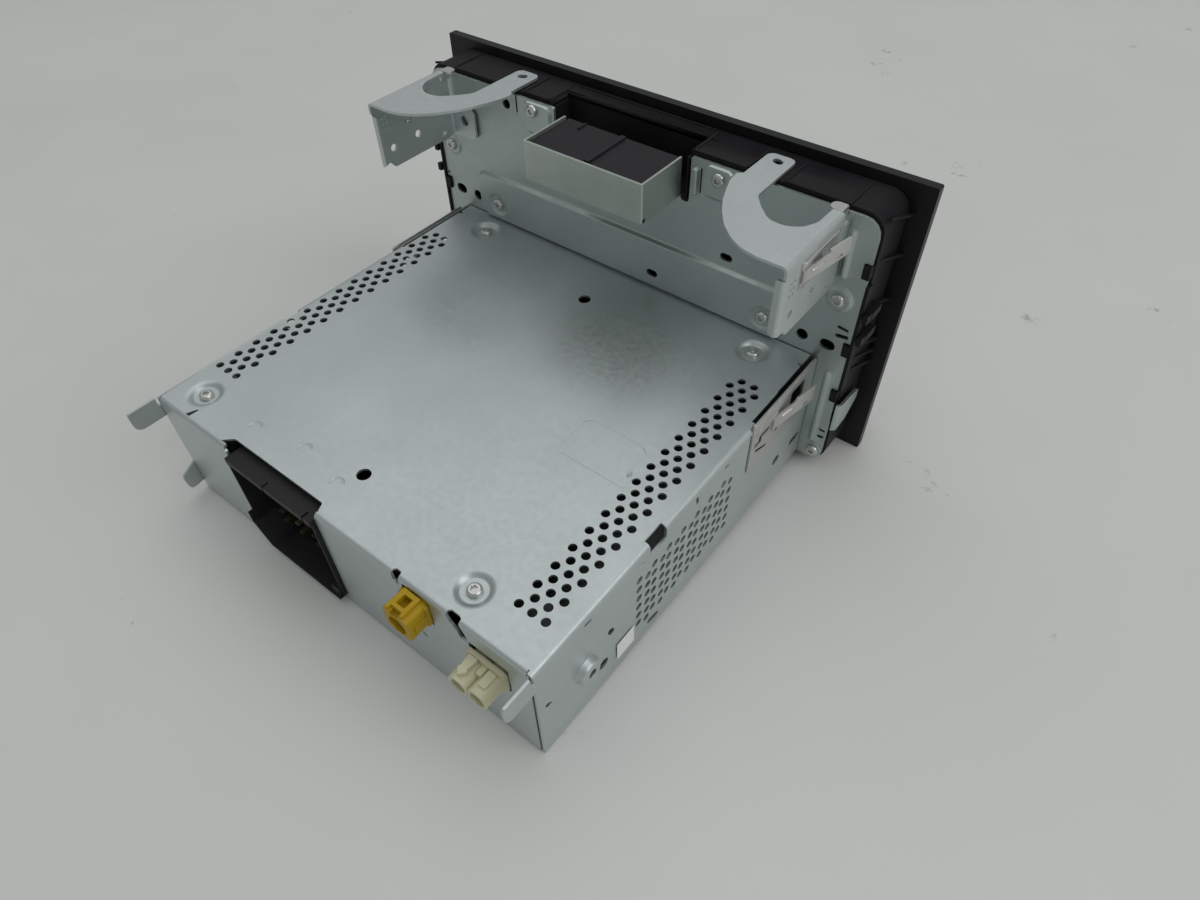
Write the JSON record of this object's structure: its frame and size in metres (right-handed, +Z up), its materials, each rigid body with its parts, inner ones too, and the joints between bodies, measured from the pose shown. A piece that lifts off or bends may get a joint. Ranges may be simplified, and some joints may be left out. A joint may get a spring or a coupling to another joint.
{
  "type": "car radio",
  "caption": "Dashboard car radio: folded steel chassis with vents and rear sockets behind a tall black front with screen, keys, knobs and a disc drive.",
  "frame": {"origin": "centre of the flat underside of the folded steel chassis", "axes": "+Z up, the front panel faces -Y, the rear sockets face +Y, +X is the left side seen from behind"},
  "size_m": [0.215, 0.2075, 0.1188],
  "materials": {
    "zinc_steel": "zinc plated sheet, satin",
    "bright_steel": "bright spring steel and screws",
    "contact_brass": "plated contacts",
    "black_plastic": "fine grained, matte",
    "satin_panel": "satin",
    "ochre_plastic": "matte",
    "cream_plastic": "matte",
    "board_green": "solder mask",
    "screen_glass": "dark glossy glass",
    "aluminium": "extruded",
    "rubber": "matte",
    "blank_label": "blank paper"
  },
  "bodies": {
    "chassis": {"top_cover": "zinc_steel", "base_plate": "zinc_steel", "side_wall_left": "zinc_steel", "side_wall_right": "zinc_steel", "rear_wall": "zinc_steel", "front_plate": "zinc_steel", "rear_box_wrap": "zinc_steel", "half_moon_bracket_left": "zinc_steel", "half_moon_bracket_right": "zinc_steel", "drive_tray": "zinc_steel", "drive_lid": "zinc_steel", "tuner_module": "zinc_steel", "cover_screw_1": "bright_steel", "cover_screw_2": "bright_steel", "cover_screw_3": "bright_steel", "cover_screw_4": "bright_steel", "clip_plate_low_left": "bright_steel", "clip_plate_low_right": "bright_steel", "clip_plate_high_left": "bright_steel", "clip_plate_high_right": "bright_steel", "spindle_motor": "bright_steel", "pin_block": "contact_brass", "housing": "black_plastic", "quadlock_header": "black_plastic", "rear_box_insert": "black_plastic", "disc_chute": "black_plastic", "fascia": "satin_panel", "antenna_socket_yellow": "ochre_plastic", "antenna_socket_cream": "cream_plastic", "ribbon_cable": "cream_plastic", "main_board": "board_green", "front_board": "board_green", "display_glass": "screen_glass", "heat_sink": "aluminium", "display_panel": "aluminium", "blank_label": "blank_label"},
    "key_left_1": {"key_left_1": "satin_panel"},
    "key_left_2": {"key_left_2": "satin_panel"},
    "key_left_3": {"key_left_3": "satin_panel"},
    "key_left_4": {"key_left_4": "satin_panel"},
    "key_right_1": {"key_right_1": "satin_panel"},
    "key_right_2": {"key_right_2": "satin_panel"},
    "key_right_3": {"key_right_3": "satin_panel"},
    "key_right_4": {"key_right_4": "satin_panel"},
    "eject_key": {"eject_key": "satin_panel"},
    "volume_shaft": {"volume_shaft": "bright_steel"},
    "volume_knob": {"volume_knob": "satin_panel"},
    "tune_shaft": {"tune_shaft": "bright_steel"},
    "tune_knob": {"tune_knob": "satin_panel"},
    "turntable": {"turntable": "black_plastic"},
    "pickup_sled": {"pickup_sled": "black_plastic"},
    "feed_roller": {"feed_roller": "rubber"},
    "clip_tongue_low_left": {"clip_tongue_low_left": "bright_steel"},
    "clip_tongue_low_right": {"clip_tongue_low_right": "bright_steel"},
    "clip_tongue_high_left": {"clip_tongue_high_left": "bright_steel"},
    "clip_tongue_high_right": {"clip_tongue_high_right": "bright_steel"}
  },
  "joints": [
    {"name": "key_left_1_press", "type": "slide", "parent": "chassis", "child": "key_left_1", "axis": [0, 1, 0], "range_m": [0, 0.0008], "stiffness_N_per_m": 200},
    {"name": "key_left_2_press", "type": "slide", "parent": "chassis", "child": "key_left_2", "axis": [0, 1, 0], "range_m": [0, 0.0008], "stiffness_N_per_m": 200},
    {"name": "key_left_3_press", "type": "slide", "parent": "chassis", "child": "key_left_3", "axis": [0, 1, 0], "range_m": [0, 0.0008], "stiffness_N_per_m": 200},
    {"name": "key_left_4_press", "type": "slide", "parent": "chassis", "child": "key_left_4", "axis": [0, 1, 0], "range_m": [0, 0.0008], "stiffness_N_per_m": 200},
    {"name": "key_right_1_press", "type": "slide", "parent": "chassis", "child": "key_right_1", "axis": [0, 1, 0], "range_m": [0, 0.0008], "stiffness_N_per_m": 200},
    {"name": "key_right_2_press", "type": "slide", "parent": "chassis", "child": "key_right_2", "axis": [0, 1, 0], "range_m": [0, 0.0008], "stiffness_N_per_m": 200},
    {"name": "key_right_3_press", "type": "slide", "parent": "chassis", "child": "key_right_3", "axis": [0, 1, 0], "range_m": [0, 0.0008], "stiffness_N_per_m": 200},
    {"name": "key_right_4_press", "type": "slide", "parent": "chassis", "child": "key_right_4", "axis": [0, 1, 0], "range_m": [0, 0.0008], "stiffness_N_per_m": 200},
    {"name": "eject_key_press", "type": "slide", "parent": "chassis", "child": "eject_key", "axis": [0, 1, 0], "range_m": [0, 0.0008], "stiffness_N_per_m": 200},
    {"name": "volume_shaft_press", "type": "slide", "parent": "chassis", "child": "volume_shaft", "axis": [0, 1, 0], "range_m": [0, 0.0005], "stiffness_N_per_m": 400},
    {"name": "volume_knob_turn", "type": "hinge", "parent": "volume_shaft", "child": "volume_knob", "pos_m": [0.0885, -0.1035, 0.0125], "axis": [0, 1, 0], "continuous": true},
    {"name": "tune_shaft_press", "type": "slide", "parent": "chassis", "child": "tune_shaft", "axis": [0, 1, 0], "range_m": [0, 0.0005], "stiffness_N_per_m": 400},
    {"name": "tune_knob_turn", "type": "hinge", "parent": "tune_shaft", "child": "tune_knob", "pos_m": [-0.0885, -0.1035, 0.0125], "axis": [0, 1, 0], "continuous": true},
    {"name": "turntable_spin", "type": "hinge", "parent": "chassis", "child": "turntable", "pos_m": [0, -0.0135, 0.0192], "axis": [0, 0, 1], "continuous": true},
    {"name": "pickup_sled_travel", "type": "slide", "parent": "chassis", "child": "pickup_sled", "axis": [0, 1, 0], "range_m": [0, 0.034]},
    {"name": "feed_roller_spin", "type": "hinge", "parent": "chassis", "child": "feed_roller", "pos_m": [0, -0.0715, 0.0163], "axis": [1, 0, 0], "continuous": true},
    {"name": "clip_tongue_low_left_flex", "type": "hinge", "parent": "chassis", "child": "clip_tongue_low_left", "pos_m": [0.0902, -0.051, 0.0415], "axis": [0, 0, -1], "range_deg": [0, 9], "stiffness_Nm_per_rad": 0.2},
    {"name": "clip_tongue_low_right_flex", "type": "hinge", "parent": "chassis", "child": "clip_tongue_low_right", "pos_m": [-0.0902, -0.051, 0.0415], "axis": [0, 0, 1], "range_deg": [0, 9], "stiffness_Nm_per_rad": 0.2},
    {"name": "clip_tongue_high_left_flex", "type": "hinge", "parent": "chassis", "child": "clip_tongue_high_left", "pos_m": [0.0902, -0.051, 0.1045], "axis": [0, 0, -1], "range_deg": [0, 9], "stiffness_Nm_per_rad": 0.2},
    {"name": "clip_tongue_high_right_flex", "type": "hinge", "parent": "chassis", "child": "clip_tongue_high_right", "pos_m": [-0.0902, -0.051, 0.1045], "axis": [0, 0, 1], "range_deg": [0, 9], "stiffness_Nm_per_rad": 0.2}
  ]
}
